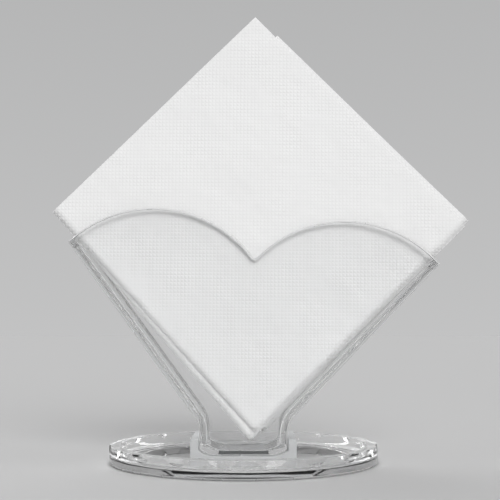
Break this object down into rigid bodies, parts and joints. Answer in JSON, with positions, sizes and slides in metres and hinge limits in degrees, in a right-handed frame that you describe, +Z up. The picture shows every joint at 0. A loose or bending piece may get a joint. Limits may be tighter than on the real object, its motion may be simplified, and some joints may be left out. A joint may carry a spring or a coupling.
{
  "type": "napkin holder",
  "caption": "Clear upright napkin holder: heart-topped pocket on a narrow foot, held by a frosted seat on a round dished base, with folded napkins standing corner down.",
  "frame": {"origin": "on the table, under the middle of the round base", "axes": "+Z up, +X to the right along the front plate, +Y to the back; the front faces -Y"},
  "size_m": [0.1711, 0.109, 0.1824],
  "materials": {
    "clear_plastic": "clear, polished, with smooth moulded edges",
    "frosted_plastic": "frosted light grey",
    "paper": "white embossed tissue paper"
  },
  "bodies": {
    "base": {"base_dish": "clear_plastic", "foot_seat": "frosted_plastic"},
    "pocket": {"pocket": "clear_plastic"},
    "napkin_1": {"napkin_1": "paper"},
    "napkin_2": {"napkin_2": "paper"},
    "napkin_3": {"napkin_3": "paper"},
    "napkin_4": {"napkin_4": "paper"},
    "napkin_5": {"napkin_5": "paper"},
    "napkin_6": {"napkin_6": "paper"},
    "napkin_7": {"napkin_7": "paper"},
    "napkin_8": {"napkin_8": "paper"},
    "napkin_9": {"napkin_9": "paper"},
    "napkin_10": {"napkin_10": "paper"}
  },
  "joints": [
    {"name": "pocket_lift", "type": "slide", "parent": "base", "child": "pocket", "axis": [0, 0, 1], "range_m": [0, 0.04]},
    {"name": "napkin_1_pull", "type": "slide", "parent": "pocket", "child": "napkin_1", "axis": [0, 0, 1], "range_m": [0, 0.095]},
    {"name": "napkin_2_pull", "type": "slide", "parent": "pocket", "child": "napkin_2", "axis": [0, 0, 1], "range_m": [0, 0.095]},
    {"name": "napkin_3_pull", "type": "slide", "parent": "pocket", "child": "napkin_3", "axis": [0, 0, 1], "range_m": [0, 0.095]},
    {"name": "napkin_4_pull", "type": "slide", "parent": "pocket", "child": "napkin_4", "axis": [0, 0, 1], "range_m": [0, 0.095]},
    {"name": "napkin_5_pull", "type": "slide", "parent": "pocket", "child": "napkin_5", "axis": [0, 0, 1], "range_m": [0, 0.095]},
    {"name": "napkin_6_pull", "type": "slide", "parent": "pocket", "child": "napkin_6", "axis": [0, 0, 1], "range_m": [0, 0.095]},
    {"name": "napkin_7_pull", "type": "slide", "parent": "pocket", "child": "napkin_7", "axis": [0, 0, 1], "range_m": [0, 0.095]},
    {"name": "napkin_8_pull", "type": "slide", "parent": "pocket", "child": "napkin_8", "axis": [0, 0, 1], "range_m": [0, 0.095]},
    {"name": "napkin_9_pull", "type": "slide", "parent": "pocket", "child": "napkin_9", "axis": [0, 0, 1], "range_m": [0, 0.095]},
    {"name": "napkin_10_pull", "type": "slide", "parent": "pocket", "child": "napkin_10", "axis": [0, 0, 1], "range_m": [0, 0.095]}
  ]
}
